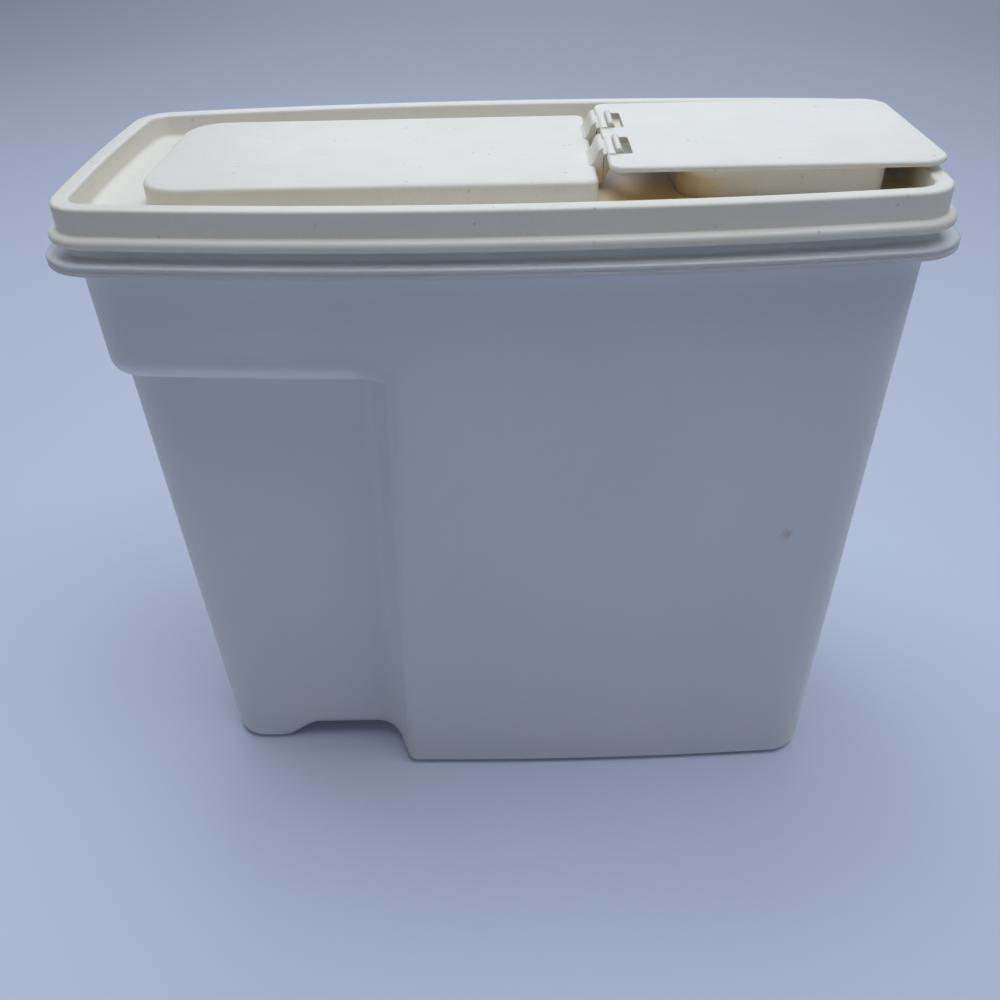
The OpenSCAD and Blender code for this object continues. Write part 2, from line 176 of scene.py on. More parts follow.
# The hook's back, as (x from the bar, z from the hook's top), and its tail on the deck, as
# (x from the bar, z from the deck's top).
HOOK_BACK = ((-2.2, 0), (-2.8, -0.08), (-3.35, -0.4), (-3.75, -0.95), (-4.1, -1.75),
             (-4.45, -2.7))
HOOK_TAIL = ((-4.9, 1.0), (-5.5, 0.35), (-6.3, -0.05), (-6.3, -0.6),
             (-HINGE_OFF - HOOK_SUNK, -1.2))
SLOT_GAP = 0.8
SLOT_MORE = 1.5
SLOT_R0, SLOT_R1 = 0.6, 1.0
SLOT_X0_OFF = 3 * BAR_R     # the slot's cut begins this far before the bar's middle
SLOT_CUT = 4.0              # and reaches this far over and under it

# ------------------------------------------------------------------ points on the outlines
END_N = 6
CORNER_N = 14
GRIP_N = 26
FILLET_N = 9
SIDE_N = 26
PLAIN_N = 56
BEAD_N = 16
TURN_N = 8                  # on each quarter turn of the base's and ledge's rounds
ROOT_N = 6
RIDGE_N = 8
LIP_N = 4
SEAL_N = 3
RIM_EDGE_N = 6
GUTTER_N = 7
DECK_FOOT_N = 5
DECK_EDGE_N = 7
BOX_N = 10
SLOT_N = 5
PLATE_EDGE_N = 12
HOOK_N = 28
BORE_N = 40
TIP_N = 6

LEAST_CORNER_R = 1.5
LEAST_EDGE_R = 1
LEAST_SPACE = 0.02          # between neighbouring points of the hook's outline
WELD = 1e-4

ARCH_SHARES = (0.2, 0.35, 0.5, 0.65, 0.8, 1.0)  # rings up to the arch's fading height
GRIP_LEVELS = (75, 105, 135)
UPPER_SHARES = (0.3, 0.6)                       # rings between ledge and flange


# ------------------------------------------------------------------ mesh helpers
def mix(a, b, t):
    return a + (b - a) * t


def smooth_step(t):
    t = min(1.0, max(0.0, t))
    return t * t * (3 - 2 * t)


def arc(cx, cy, r, start, end, steps):
    """Points on an arc, angles in degrees."""
    turns = [math.radians(mix(start, end, k / steps)) for k in range(steps + 1)]
    return [(cx + r * math.cos(g), cy + r * math.sin(g)) for g in turns]


def quarter(steps):
    """Angles of a quarter turn, in radians."""
    return [math.radians(90 * k / steps) for k in range(steps + 1)]


def finish_mesh(bm, name, material, sharp_degrees=40):
    """Turns a bmesh in millimetres into a smooth-shaded object in metres."""
    bmesh.ops.remove_doubles(bm, verts=bm.verts, dist=WELD)
    bmesh.ops.recalc_face_normals(bm, faces=bm.faces)
    bmesh.ops.scale(bm, vec=(MM, MM, MM), verts=bm.verts)
    limit = math.radians(sharp_degrees)
    for edge in bm.edges:
        edge.smooth = not (len(edge.link_faces) == 2 and edge.calc_face_angle(0) > limit)
    for face in bm.faces:
        face.smooth = True
    mesh = bpy.data.meshes.new(name)
    bm.to_mesh(mesh)
    bm.free()
    obj = bpy.data.objects.new(name, mesh)
    obj.data.materials.append(material)
    bpy.context.collection.objects.link(obj)
    return obj


def add_loops(bm, loops):
    return [[bm.verts.new(p) for p in loop] for loop in loops]


def bridge(bm, loops, wrapped=False):
    """Quads between loops of equal length."""
    count = len(loops)
    for i in range(count if wrapped else count - 1):
        a, b = loops[i], loops[(i + 1) % count]
        for k in range(len(a)):
            n = (k + 1) % len(a)
            bm.faces.new((a[k], a[n], b[n], b[k]))


def fill_flat(bm, rings):
    """Fills a level area whose rim is the first ring and whose holes are the others."""
    edges = []
    for ring in rings:
        for k in range(len(ring)):
            pair = (ring[k], ring[(k + 1) % len(ring)])
            edges.append(bm.edges.get(pair) or bm.edges.new(pair))
    bmesh.ops.triangle_fill(bm, use_beauty=True, use_dissolve=False, edges=edges)


def solid(name, loops, material):
    """A closed object from loops in millimetres, with a face on each end."""
    bm = bmesh.new()
    rings = add_loops(bm, loops)
    bridge(bm, rings)
    for ring in (rings[0], rings[-1]):
        bm.faces.new(ring)
    return finish_mesh(bm, name, material)


def boolean(obj, other, operation):
    """Applies an exact boolean with another object, which is used up."""
    mod = obj.modifiers.new("cut", "BOOLEAN")
    mod.operation = operation
    mod.solver = "EXACT"
    mod.object = other
    graph = bpy.context.evaluated_depsgraph_get()
    mesh = bpy.data.meshes.new_from_object(obj.evaluated_get(graph))
    obj.modifiers.clear()
    obj.data = mesh
    bpy.data.objects.remove(other)


# ------------------------------------------------------------------ outlines
def rim_dims():
    return (RIM_L, RIM_W, SIDE_BOW, END_BOW, RIM_CORNER_R)


def wall_dims(z):
    t = z / BODY_H
    return (mix(BASE_L, RIM_L - 2 * WALL_TOP_D, t), mix(BASE_W, RIM_W - 2 * WALL_TOP_D, t),
            mix(BASE_BOW, SIDE_BOW, t), END_BOW,
            mix(BASE_CORNER_R, RIM_CORNER_R + WALL_CORNER_MORE, t))


def grip_dims(z):
    length, width, bow, end_bow, corner = wall_dims(z)
    t = z / BODY_H
    return (length - 2 * mix(GRIP_END_IN, 0, t), mix(GRIP_BASE_W, GRIP_TOP_W, t), 0, end_bow,
            corner)


class Outline:
    """Front half of a bowed outline that is moved outwards by o."""

    def __init__(self, dims, o):
        length, width, self.bow, self.end_bow, corner = dims
        self.a, self.b = length / 2 + o, width / 2 + o
        self.r = max(corner + o, LEAST_CORNER_R)
        self.tilt = math.atan(2 * self.bow / (self.a - self.r))
        self.end_tilt = math.atan(2 * self.end_bow / (self.b - self.bow - self.r))
        self.cx = self.a - self.end_bow - self.r * math.cos(self.end_tilt)
        self.cy = self.b - self.bow - self.r * math.cos(self.tilt)
        self.end_y = self.cy + self.r * math.sin(self.end_tilt)
        self.side_x = self.cx + self.r * math.sin(self.tilt)

    def side(self, x):
        return -self.b + self.bow * (x / self.side_x) ** 2

    def left(self):
        end = [(-self.a + self.end_bow * (k / END_N) ** 2, -self.end_y * k / END_N)
               for k in range(END_N)]
        return end + arc(-self.cx, -self.cy, self.r, 180 + math.degrees(self.end_tilt),
                         270 - math.degrees(self.tilt), CORNER_N)

    def right(self):
        return [(-x, y) for x, y in reversed(self.left())]


def plain_half(dims, o):
    line = Outline(dims, o)
    middle = [mix(-line.side_x, line.side_x, k / PLAIN_N) for k in range(1, PLAIN_N)]
    return line.left() + [(x, line.side(x)) for x in middle] + line.right()


def step_depth(z):
    return -Outline(wall_dims(z), 0).side(STEP_X) - grip_dims(z)[1] / 2


def gripped_half(z, dims, o, cut):
    """Half ring between the block's outline and the grip's, by the share cut."""
    block, grip, depth = Outline(dims, o), Outline(grip_dims(z), o), step_depth(min(z, BODY_H))
    r_in, r_out = STEP_ROOT_R - o, max(STEP_EDGE_R + o, LEAST_EDGE_R)
    rise = (r_in + r_out) * (1 - math.cos(STEP_ANGLE))
    span = (r_in + r_out) * math.sin(STEP_ANGLE) + (depth - rise) / math.tan(STEP_ANGLE)
    mid = STEP_X + STEP_LEAN * z / BODY_H - o
    xa, xb = mid - span / 2, mid + span / 2
    points = [(mix(p[0], q[0], cut), mix(p[1], q[1], cut))
              for p, q in zip(block.left(), grip.left())]
    for k in range(1, GRIP_N + 1):
        t = k / (GRIP_N + 1)
        x = mix(-block.side_x, xa, t)
        points.append((mix(x, mix(-grip.side_x, xa, t), cut),
                       mix(block.side(x), -grip.b, cut)))
    turns = [STEP_ANGLE * k / FILLET_N for k in range(FILLET_N + 1)]
    fillets = [(xa + r_in * math.sin(g), 1 - r_in * (1 - math.cos(g)) / depth) for g in turns]
    fillets += [(xb - r_out * math.sin(g), r_out * (1 - math.cos(g)) / depth)
                for g in reversed(turns)]
    points += [(x, mix(block.side(x), -grip.b, cut * share)) for x, share in fillets]
    side = [mix(xb, block.side_x, k / (SIDE_N + 1)) for k in range(1, SIDE_N + 1)]
    return points + [(x, block.side(x)) for x in side] + block.right()


def arch(x, z):
    return (ARCH_H * smooth_step((x - ARCH_X0) / ARCH_RUN_IN)
            * smooth_step((ARCH_X1 - x) / ARCH_RUN_OUT) * max(0.0, 1 - z / ARCH_FADE))


def whole(points):
    return points + [(x, -y, z) for x, y, z in points[-2:0:-1]]


def wall_loop(z, o, cut, kind):
    dims = rim_dims() if kind == "rim" else wall_dims(z)
    return whole([(x, y, z + arch(x, z)) for x, y in gripped_half(z, dims, o, cut)])


def rim_loop(o, z):
    return whole([(x, y, z) for x, y in plain_half(rim_dims(), o)])


def box_loop(x0, x1, w, r0, r1, inset, z, steps=BOX_N):
    """A rounded box outline moved inwards by inset; r0 is at x0, r1 at x1."""
    points = []
    for cx, cy, r, start in ((x1 - r1, w / 2 - r1, r1, 0), (x0 + r0, w / 2 - r0, r0, 90),
                             (x0 + r0, -w / 2 + r0, r0, 180), (x1 - r1, -w / 2 + r1, r1, 270)):
        points += arc(cx, cy, r - inset, start, start + 90, steps)
    return [(x, y, z) for x, y in points]


# ------------------------------------------------------------------ materials
# Each noise is (scale per metre, detail), then perhaps its stretch along x, y, z and its
# roughness. The spans are the part of a noise's value that is spread over a full range.
NOISE_MID = (0.35, 0.65)
NOISE_WIDE = (0.3, 0.7)
EDGE_NOISE = {"Scale": 900.0, "Detail": 3.0}
RAGGED = 0.0025             # m by which the edges of stains wander

TUB_CLOUD = (28, 4, (1, 1, 0.45))
TUB_RUBBED = (260, 3, (1, 1, 0.15))
TUB_GRAIN = (1500, 2)
TUB_ROUGHNESS = (0.36, 0.48)
TUB_BUMP = (0.00003, 0.6)   # m, strength
TUB_TINTS = ((0.93, 0.955, 0.97), (0.97, 0.985, 0.995))
OPEN_SHARE, BEND_SHARE = 0.44, 0.12         # light let through by open walls, and at bends
LEDGE_BEND = (0.0042, 0.0012)               # m from the ledge's edge: none yet, and full
FOOT_BEND = (0.0065, 0.002)                 # the same, over the ground
LEDGE_END_FADE = 4.0                        # mm past the step
STAIN_AT, STAIN_R, STAIN_SOFT = (87.5, -45.5, 107), 1.1, 2.0
STAIN, STAIN_SHARE = (0.34, 0.20, 0.09), 0.7

CLEAR_CLOUD = (60, 3)
CLEAR_TINTS = ((0.90, 0.91, 0.90), (0.95, 0.96, 0.95))
CLEAR_FROM, CLEAR_TO = BODY_H - 0.2, FLANGE_TOP + 0.5

IVORY_PATCHES = (22, 4)
IVORY_RUBBED, RUBBED_SPAN = (420, 4, (0.25, 1, 1)), (0.3, 0.72)
IVORY_ROUGHNESS = (0.30, 0.48)
IVORY_HAIR = (1600, 2, (0.08, 1, 1), 0.6)
IVORY_DENTS = (900, 3)
IVORY_BUMP = (0.00005, 0.6)
LID_LIGHT, LID_DEEP = (0.84, 0.795, 0.70), (0.81, 0.76, 0.655)
FLAP_LIGHT, FLAP_DEEP = (0.85, 0.81, 0.735), (0.82, 0.775, 0.69)
LID_SCUFFS, FLAP_SCUFFS = 0.4, 1.0
# Painted shade: a warm amber shade painted into the recess under the flap, as (point, radius, soft
# edge), in mm.
LID_PAINTED_SHADE_SPOTS = (((39, -24, 209), 6, 12), ((107, -20, 209), 2.5, 5))
FLAP_PAINTED_SHADE_SPOTS = (((46, -27, 211), 2, 22),)
PAINTED_SHADE_COLOUR = (0.74, 0.49, 0.17)
# Heights in mm where the painted shade begins and where it is full, so that it lies only in the
# recess.
PAINTED_SHADE_NONE, PAINTED_SHADE_FULL = RIM_TOP - 0.2, RIM_TOP - 1.4
# Streaks that break up the painted shade.
SHADE_STREAKS, SHADE_STREAKS_SPAN, SHADE_STREAKS_SHARE = (190, 3, (1, 1, 0.1)), (0.3, 0.62), (0.7, 0.95)
SPECK, SPECK_SHARE = (0.33, 0.28, 0.21), 0.4
SPECK_CELLS, SPECK_SPAN = {"Scale": 210.0, "Randomness": 1.0}, (0.13, 0.07)
SPARSE, SPARSE_SPAN = (75, 1), (0.53, 0.60)
MOTTLE, MOTTLE_SHARE = (0.60, 0.57, 0.50), 0.16
MOTTLE_FINE, MOTTLE_FINE_SPAN = (1100, 3), (0.50, 0.66)
MOTTLE_WHERE, MOTTLE_WHERE_SPAN = (48, 2), (0.46, 0.6)


class Finish:
    """A node material with its Principled shader, and short calls to add nodes to it."""

    def __init__(self, name, **values):
        self.material = bpy.data.materials.new(name)
        self.material.use_nodes = True
        self.tree = self.material.node_tree
        self.shader = self.tree.nodes["Principled BSDF"]
        for key, value in values.items():
            self.shader.inputs[key.replace("_", " ")].default_value = value
        self.place = self.tree.nodes.new("ShaderNodeTexCoord").outputs["Object"]

    def add(self, kind, links=None, values=None, **settings):
        made = self.tree.nodes.new("ShaderNode" + kind)
        for key, value in settings.items():
            setattr(made, key, value)
        for key, value in (values or {}).items():
            made.inputs[key].default_value = value
        for key, source in (links or {}).items():
            self.tree.links.new(source, made.inputs[key])
        return made

    def noise(self, scale, detail, stretch=(1, 1, 1), roughness=0.5):
        mapping = self.add("Mapping", {"Vector": self.place}, {"Scale": stretch})
        values = {"Scale": scale, "Detail": detail, "Roughness": roughness}
        return self.add("TexNoise", {"Vector": mapping.outputs["Vector"]}, values).outputs["Fac"]

    def band(self, value, low, high, out_low=0.0, out_high=1.0):
        """Spreads the span from low to high over the span from out_low to out_high."""
        spans = {"From Min": low, "From Max": high, "To Min": out_low, "To Max": out_high}
        return self.add("MapRange", {"Value": value}, spans).outputs["Result"]

    def near(self, point, radius, soft):
        """1 within radius of a point, 0 beyond radius + soft, with a ragged edge."""
        ragged = self.add("VectorMath", {0: self.place}, operation="ADD")
        wobble = self.add("TexNoise", {"Vector": self.place}, EDGE_NOISE)
        push = self.add("VectorMath", {0: wobble.outputs["Color"]}, {"Scale": RAGGED},
                        operation="SCALE")
        self.tree.links.new(push.outputs["Vector"], ragged.inputs[1])
        far = self.add("VectorMath", {0: ragged.outputs["Vector"]}, operation="DISTANCE")
        far.inputs[1].default_value = [c * MM + RAGGED / 2 for c in point]
        return self.band(far.outputs["Value"], (radius + soft) * MM, radius * MM)

    def blend(self, factor, a, b):
        """Mixes two colours, each a tuple or a socket."""
        mixed = self.add("Mix", data_type="RGBA")
        self.tree.links.new(factor, mixed.inputs["Factor"])
        for socket, value in ((mixed.inputs[6], a), (mixed.inputs[7], b)):
            if isinstance(value, tuple):
                socket.default_value = (*value, 1)
            else:
                self.tree.links.new(value, socket)
        return mixed.outputs[2]

    def axis(self, letter):
        return self.add("SeparateXYZ", {"Vector": self.place}).outputs[letter]

    def math(self, operation, a, b):
        made = self.add("Math", operation=operation)
        for socket, value in ((made.inputs[0], a), (made.inputs[1], b)):
            if isinstance(value, (int, float)):
                socket.default_value = value
            else:
                self.tree.links.new(value, socket)
        return made.outputs["Value"]

    def connect(self, source, socket):
        self.tree.links.new(source, self.shader.inputs[socket])

    def bump(self, height, distance, strength):
        made = self.add("Bump", {"Height": height}, {"Strength": strength, "Distance": distance})
        self.connect(made.outputs["Normal"], "Normal")


def frosted_plastic():
    f = Finish("frosted_plastic", Roughness=0.42, IOR=1.5, Sheen_Weight=0.45,
               Sheen_Roughness=0.45)
    tint = f.blend(f.band(f.noise(*TUB_CLOUD), *NOISE_MID), *TUB_TINTS)
    x, z = f.axis("X"), f.axis("Z")
    ledge = f.math("ABSOLUTE", f.math("SUBTRACT", z, (LEDGE_Z + LEDGE_EDGE_R / 2) * MM), 0.0)
    along_ledge = f.math("MULTIPLY", f.band(ledge, *LEDGE_BEND),
                         f.band(x, (STEP_X + LEDGE_END_FADE) * MM, STEP_X * MM))
    bends = f.math("MAXIMUM", along_ledge, f.band(z, *FOOT_BEND))
    f.connect(f.band(bends, 0.0, 1.0, OPEN_SHARE, BEND_SHARE), "Transmission Weight")
    stain = f.near(STAIN_AT, STAIN_R, STAIN_SOFT)
    f.connect(f.blend(f.math("MULTIPLY", stain, STAIN_SHARE), tint, STAIN), "Base Color")
    f.connect(f.band(f.noise(*TUB_RUBBED), *NOISE_WIDE, *TUB_ROUGHNESS), "Roughness")
    f.bump(f.noise(*TUB_GRAIN), *TUB_BUMP)
    return f.material


def clear_plastic():
    f = Finish("clear_flange", Roughness=0.3, IOR=1.5, Transmission_Weight=0.56)
    cloud = f.band(f.noise(*CLEAR_CLOUD), *NOISE_MID)
    f.connect(f.blend(cloud, *CLEAR_TINTS), "Base Color")
    return f.material


def ivory_plastic(name, light, deep, scuffs, painted_shade_spots):
    f = Finish(name, Roughness=0.4, IOR=1.49, Subsurface_Weight=0.12, Subsurface_Scale=0.004,
               Subsurface_Radius=(1.0, 0.85, 0.6))
    colour = f.blend(f.band(f.noise(*IVORY_PATCHES), *NOISE_MID), deep, light)
    recess_shade = f.band(f.axis("Z"), PAINTED_SHADE_NONE * MM, PAINTED_SHADE_FULL * MM)
    shade_streaks = f.band(f.noise(*SHADE_STREAKS), *SHADE_STREAKS_SPAN, *SHADE_STREAKS_SHARE)
    # Painted shade: amber shade painted into the recess under the flap, below the rim's top and
    # broken by streaks.
    for point, radius, soft in painted_shade_spots:
        painted_shade = f.math("MULTIPLY", f.near(point, radius, soft), f.math("MULTIPLY", recess_shade, shade_streaks))
        colour = f.blend(painted_shade, colour, PAINTED_SHADE_COLOUR)
    cells = f.add("TexVoronoi", {"Vector": f.place}, SPECK_CELLS)
    speck = f.math("MULTIPLY", f.band(cells.outputs["Distance"], *SPECK_SPAN),
                   f.band(f.noise(*SPARSE), *SPARSE_SPAN))
    colour = f.blend(f.math("MULTIPLY", speck, SPECK_SHARE), colour, SPECK)
    mottle = f.math("MULTIPLY", f.band(f.noise(*MOTTLE_FINE), *MOTTLE_FINE_SPAN),
                    f.band(f.noise(*MOTTLE_WHERE), *MOTTLE_WHERE_SPAN))
    colour = f.blend(f.math("MULTIPLY", mottle, MOTTLE_SHARE), colour, MOTTLE)
    f.connect(colour, "Base Color")
    f.connect(f.band(f.noise(*IVORY_RUBBED), *RUBBED_SPAN, *IVORY_ROUGHNESS), "Roughness")
    scratches = f.math("MULTIPLY", f.noise(*IVORY_HAIR), scuffs)
    f.bump(f.math("ADD", scratches, f.noise(*IVORY_DENTS)), *IVORY_BUMP)
    return f.material


TUB_FINISH = frosted_plastic()
FLANGE_FINISH = clear_plastic()
LID_FINISH = ivory_plastic("ivory_plastic", LID_LIGHT, LID_DEEP, LID_SCUFFS, LID_PAINTED_SHADE_SPOTS)
FLAP_FINISH = ivory_plastic("ivory_flap_plastic", FLAP_LIGHT, FLAP_DEEP, FLAP_SCUFFS,
                            FLAP_PAINTED_SHADE_SPOTS)


# ------------------------------------------------------------------ tub
def base_turn(z, inset, r):
    """The round from the wall down to the base, as (z, outwards)."""
    return [(z + r * (1 - math.sin(g)), -inset - r * (1 - math.cos(g)))
            for g in quarter(TURN_N)]


def ledge_turn(inner):
    """The ledge's hollow corner, level run and round edge, as (z, share of cut) from below."""
    hollow, edge, z = LEDGE_HOLLOW_R + inner, LEDGE_EDGE_R - inner, LEDGE_Z + inner
    depth = step_depth(LEDGE_Z)
    turns = quarter(TURN_N)
    return ([(z - hollow * (1 - math.sin(g)), 1 - hollow * (1 - math.cos(g)) / depth)
             for g in turns]
            + [(z + edge * (1 - math.cos(g)), edge * (1 - math.sin(g)) / depth) for g in turns])


def collar_rings():
    """The flange with its two ridges, and the lip over it, up the outside and down again."""
    ridge = FLANGE_H / 4
    rings = [(BODY_H, FLANGE_OUT - ridge)]
    for level in (1, 3):
        rings += [(BODY_H + level * ridge + y, FLANGE_OUT - ridge + x)
                  for x, y in arc(0, 0, ridge, -RIDGE_TURN, RIDGE_TURN, RIDGE_N)]
    rings += [(FLANGE_TOP, FLANGE_OUT - RIDGE_FOOT * ridge)]
    rings += [(FLANGE_TOP + LIP_ROOT_R + y, -LIP_OUT_D + LIP_ROOT_R + x)
              for x, y in arc(0, 0, LIP_ROOT_R, 270, 180, LIP_N)]
    rings += [(LIP_TOP - LIP_EDGE_R + y, -LIP_OUT_D - LIP_EDGE_R + x)
              for x, y in arc(0, 0, LIP_EDGE_R, 0, 90, LIP_N)]
    rings += [(LIP_TOP - LIP_EDGE_R + y, -LIP_IN_D + LIP_EDGE_R + x)
              for x, y in arc(0, 0, LIP_EDGE_R, 90, 180, LIP_N)]
    rings += [(FLANGE_TOP + LIP_FOOT_UP, -LIP_IN_D)]
    return [(z, o, 0, "rim") for z, o in rings]


def tub_rings():
    """Rings as (z, outwards, share of cut, kind), up the outside and down the inside."""
    grip_levels = [ARCH_FADE * t for t in ARCH_SHARES] + list(GRIP_LEVELS)
    upper_levels = [mix(LEDGE_Z + LEDGE_EDGE_R, BODY_H, t) for t in UPPER_SHARES]
    outside = [(z, o, 1) for z, o in reversed(base_turn(0, 0, BASE_EDGE_R))]
    outside += [(z, 0, 1) for z in grip_levels]
    outside += [(z, 0, cut) for z, cut in ledge_turn(0)]
    outside += [(z, 0, 0) for z in upper_levels]
    outside += [(BODY_H - FLANGE_ROOT_R * (1 - math.sin(g)), FLANGE_ROOT_R * (1 - math.cos(g)), 0)
                for g in quarter(ROOT_N)[:-1]]
    inside = [(BODY_H - INSIDE_DROP, -WALL_T, 0)]
    inside += [(z, -WALL_T, 0) for z in reversed(upper_levels)]
    inside += [(z, -WALL_T, cut) for z, cut in reversed(ledge_turn(WALL_T))]
    inside += [(z, -WALL_T, 1) for z in reversed(grip_levels)]
    inside += [(z, o, 1) for z, o in base_turn(WALL_T, WALL_T, BASE_EDGE_R - WALL_T / 2)]
    return ([(*ring, "wall") for ring in outside] + collar_rings()
            + [(*ring, "wall") for ring in inside])


def close_base(bm, loop):
    """Strips from front to back across a base ring."""
    half = len(loop) // 2
    for k in range(half):
        corners = [loop[k], loop[k + 1], loop[-k - 1], loop[-k]]
        if k == 0:
            corners = corners[:3]
        elif k == half - 1:
            corners = [corners[0], corners[1], corners[3]]
        bm.faces.new(corners)


def build_tub():
    bm = bmesh.new()
    loops = add_loops(bm, [wall_loop(*ring) for ring in tub_rings()])
    bridge(bm, loops)
    close_base(bm, loops[0])
    close_base(bm, loops[-1])
    tub = finish_mesh(bm, "tub", TUB_FINISH, sharp_degrees=60)
    tub.data.materials.append(FLANGE_FINISH)
    for face in tub.data.polygons:
        face.material_index = int(CLEAR_FROM < face.center.z / MM < CLEAR_TO)
    return tub


tub = build_tub()
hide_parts("container")
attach(tub, "container")


# ------------------------------------------------------------------ lid
def rim_section():
    """From the sealing skirt's foot up the outside, over the rim and down to the gutter."""
    soft = SEAL_EDGE_R
    skirt_top, skirt_low = RIM_TOP - LID_T, GUTTER_Z - SEAL_H
    points = [(-SEAL_IN_D - LID_T, skirt_low)]
    points += arc(-SEAL_IN_D - soft, skirt_low + soft, soft, 270, 360, SEAL_N)
    points += arc(-SEAL_IN_D + soft, skirt_top - soft, soft, 180, 90, SEAL_N)
    points += arc(-LID_T - soft, skirt_top - soft, soft, 90, 0, SEAL_N)
    points += [(-LID_T, BEAD_TOP - BEAD_H)]
    nose_x, nose_r = BEAD_OUT * BEAD_BACK, BEAD_OUT * BEAD_NOSE
    turns = [math.radians(180 * k / BEAD_N - 90) for k in range(BEAD_N + 1)]
    points += [(nose_x + nose_r * math.cos(g), BEAD_TOP - BEAD_H / 2 * (1 - math.sin(g)))
               for g in turns]
    points += [(out, BEAD_TOP + up) for out, up in BEAD_HOLLOW]
    edge_z = RIM_TOP - RIM_EDGE_R
    points += arc(-RIM_EDGE_R, edge_z, RIM_EDGE_R, 0, 90, RIM_EDGE_N)
    points += arc(-RIM_TOP_W + RIM_EDGE_R, edge_z, RIM_EDGE_R, 90, 180, RIM_EDGE_N)
    points += arc(-RIM_TOP_W - INNER_LEAN - GUTTER_ROUND, GUTTER_Z + GUTTER_ROUND, GUTTER_ROUND,
                  0, -90, GUTTER_N)
    return points


def build_lid():
    floor_low = GUTTER_Z - LID_T

    def deck_loop(inset, z):
        return box_loop(DECK_X0, DECK_X1, DECK_W, DECK_CORNER_R, DECK_END_R, inset, z)

    def mouth_loop(inset, z):
        return box_loop(MOUTH_X0 + PLUG_GAP - MOUTH_GAP, MOUTH_X1, MOUTH_W, MOUTH_R0, MOUTH_R1,
                        inset - PLUG_GAP, z)

    bm = bmesh.new()
    rim = add_loops(bm, [rim_loop(o, z) for o, z in rim_section()])
    under = add_loops(bm, [rim_loop(-SEAL_IN_D - LID_T, floor_low)])[0]
    bridge(bm, [under] + rim)

    deck_section = [(-DECK_FOOT - x, GUTTER_Z + DECK_FOOT + z)
                    for x, z in arc(0, 0, DECK_FOOT, 270, 180, DECK_FOOT_N)]
    deck_section += [(-x, z) for x, z in arc(-DECK_EDGE_R, RIM_TOP - DECK_EDGE_R, DECK_EDGE_R,
                                             0, 90, DECK_EDGE_N)]
    deck = add_loops(bm, [deck_loop(inset, z) for inset, z in deck_section])
    bridge(bm, deck)
    bm.faces.new(deck[-1])
    hollow = add_loops(bm, [deck_loop(LID_T, z) for z in (floor_low, RIM_TOP - LID_T)])
    bridge(bm, hollow)
    bm.faces.new(hollow[-1])

    mouth = add_loops(bm, [mouth_loop(inset, GUTTER_Z + up) for inset, up in MOUTH_TOP_EDGE]
                      + [mouth_loop(inset, floor_low + up) for inset, up in MOUTH_LOW_EDGE])
    bridge(bm, mouth)
    fill_flat(bm, [rim[-1], deck[0], mouth[0]])
    fill_flat(bm, [under, hollow[0], mouth[-1]])
    return finish_mesh(bm, "lid_moulding", LID_FINISH, sharp_degrees=50)


def hook_outline():
    """A hook from the side: a ring open at the top, on a root from the deck's end wall."""
    start, end = 90 + HOOK_OPEN, 450 - HOOK_OPEN
    tip, bore = HOOK_T / 2, BAR_R + BAR_GAP
    mid = bore + tip

    def tip_arc(at, turn_from, turn_to):
        at = math.radians(at)
        return arc(mid * math.cos(at), mid * math.sin(at), tip, turn_from, turn_to,
                   TIP_N)

    hook_top = mid * math.cos(math.radians(HOOK_OPEN)) + tip
    deck_top = RIM_TOP - HINGE_Z
    root_foot = GUTTER_Z + 2 * DECK_FOOT - HINGE_Z
    outline = tip_arc(start, start - 180, start - 360)
    outline += [(x, hook_top + z) for x, z in HOOK_BACK]
    outline += [(x, deck_top + z) for x, z in HOOK_TAIL]
    outline += [(-HINGE_OFF - HOOK_SUNK, root_foot), (-HINGE_OFF / 2, root_foot)]
    outline += arc(0, 0, HOOK_R, HOOK_UNDER, end, HOOK_N)
    outline += tip_arc(end, end, end + 180)
    outline += arc(0, 0, bore, end, start, BORE_N)
    spaced = []
    for p in outline:
        if not spaced or math.dist(p, spaced[-1]) > LEAST_SPACE:
            spaced.append(p)
    if math.dist(spaced[0], spaced[-1]) < LEAST_SPACE:
        spaced.pop()
    return spaced


def build_hook(name, side):
    outline = hook_outline()
    y0 = side * HOOK_Y - HOOK_W / 2
    bm = bmesh.new()
    loops = add_loops(bm, [[(HINGE_X + x, y, HINGE_Z + z) for x, z in outline]
                           for y in (y0, y0 + HOOK_W)])
    bridge(bm, loops)
    caps = [bm.faces.new(loop) for loop in loops]
    bmesh.ops.recalc_face_normals(bm, faces=bm.faces)
    rims = [edge for cap in caps for edge in cap.edges]
    bmesh.ops.bevel(bm, geom=rims, offset=HOOK_EDGE_R, segments=2, affect="EDGES", profile=0.6)
    return finish_mesh(bm, name, LID_FINISH)


lid = build_lid()
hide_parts("lid")
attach(lid, "lid")
for hook_name, hook_side in (("front_hook", -1), ("back_hook", 1)):
    hook = build_hook(hook_name, hook_side)
    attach(hook, "lid")


# ------------------------------------------------------------------ flap
def plug_section(plate_low):
    """The plug's wall, as (inset, z): down its inside, up its outside, into the plate."""
    soft, bit = PLUG_SOFT, PLUG_BIT
    top = plate_low + PLUG_INTO_PLATE
    return [(PLUG_T, top), (PLUG_T, PLUG_LOW + soft), (PLUG_T - bit, PLUG_LOW + bit),
            (PLUG_T - soft, PLUG_LOW), (soft, PLUG_LOW), (bit, PLUG_LOW + bit),
            (0, PLUG_LOW + soft), (0, plate_low - soft), (-bit, plate_low - bit),
            (-soft, plate_low), (-soft, top)]


